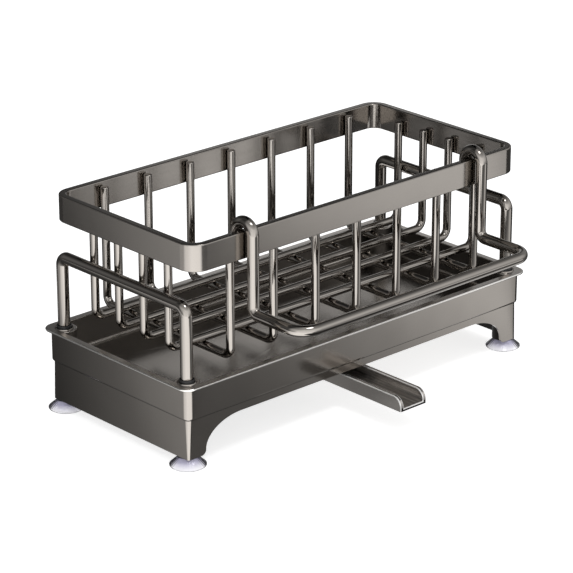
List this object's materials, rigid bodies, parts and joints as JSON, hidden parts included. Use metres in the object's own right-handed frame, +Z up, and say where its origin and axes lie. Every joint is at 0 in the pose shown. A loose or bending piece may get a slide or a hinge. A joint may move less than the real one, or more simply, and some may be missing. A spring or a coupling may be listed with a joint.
{
  "type": "counter-top sink caddy with drip tray",
  "caption": "Wire basket with a flat band rim and hooked-on towel bar, standing by its end loops in a drip tray on a low arched stand with suction feet and a pull-out drain spout",
  "frame": {"origin": "middle of the full footprint, towel bar and spout included, on the surface that the suction cups stand on", "axes": "+X along the long side, to the right as seen from the towel bar's side; +Y to the back, away from the towel bar and the spout; +Z up"},
  "size_m": [0.301, 0.1904, 0.1516],
  "materials": {
    "black_nickel": "polished black nickel plate over steel, warm dark grey and mirror bright",
    "black_cap": "black moulded plastic",
    "clear_cup": "clear soft vinyl with a faint violet tint"
  },
  "bodies": {
    "base": {"base_stand": "black_nickel", "spout_bracket": "black_nickel", "suction_cup_front_left": "clear_cup", "suction_cup_front_right": "clear_cup", "suction_cup_back_left": "clear_cup", "suction_cup_back_right": "clear_cup"},
    "spout": {"drain_spout": "black_nickel"},
    "tray": {"drip_tray": "black_nickel"},
    "basket": {"rim_band": "black_nickel", "cross_wire_1": "black_nickel", "cross_wire_2": "black_nickel", "cross_wire_3": "black_nickel", "cross_wire_4": "black_nickel", "cross_wire_5": "black_nickel", "cross_wire_6": "black_nickel", "cross_wire_7": "black_nickel", "long_wire_1": "black_nickel", "long_wire_2": "black_nickel", "long_wire_3": "black_nickel", "long_wire_4": "black_nickel", "end_loop_left": "black_nickel", "end_loop_right": "black_nickel", "leg_cap_front_left": "black_cap", "leg_cap_front_right": "black_cap", "leg_cap_back_left": "black_cap", "leg_cap_back_right": "black_cap"},
    "towel_bar": {"towel_bar": "black_nickel"}
  },
  "joints": [
    {"name": "tray_lift", "type": "slide", "parent": "base", "child": "tray", "axis": [0, 0, 1], "range_m": [0, 0.06]},
    {"name": "basket_lift", "type": "slide", "parent": "tray", "child": "basket", "axis": [0, 0, 1], "range_m": [0, 0.06]},
    {"name": "towel_bar_lift", "type": "slide", "parent": "basket", "child": "towel_bar", "axis": [0, 0, 1], "range_m": [0, 0.05]},
    {"name": "spout_slide", "type": "slide", "parent": "base", "child": "spout", "axis": [0, 1, 0], "range_m": [0, 0.045]}
  ]
}
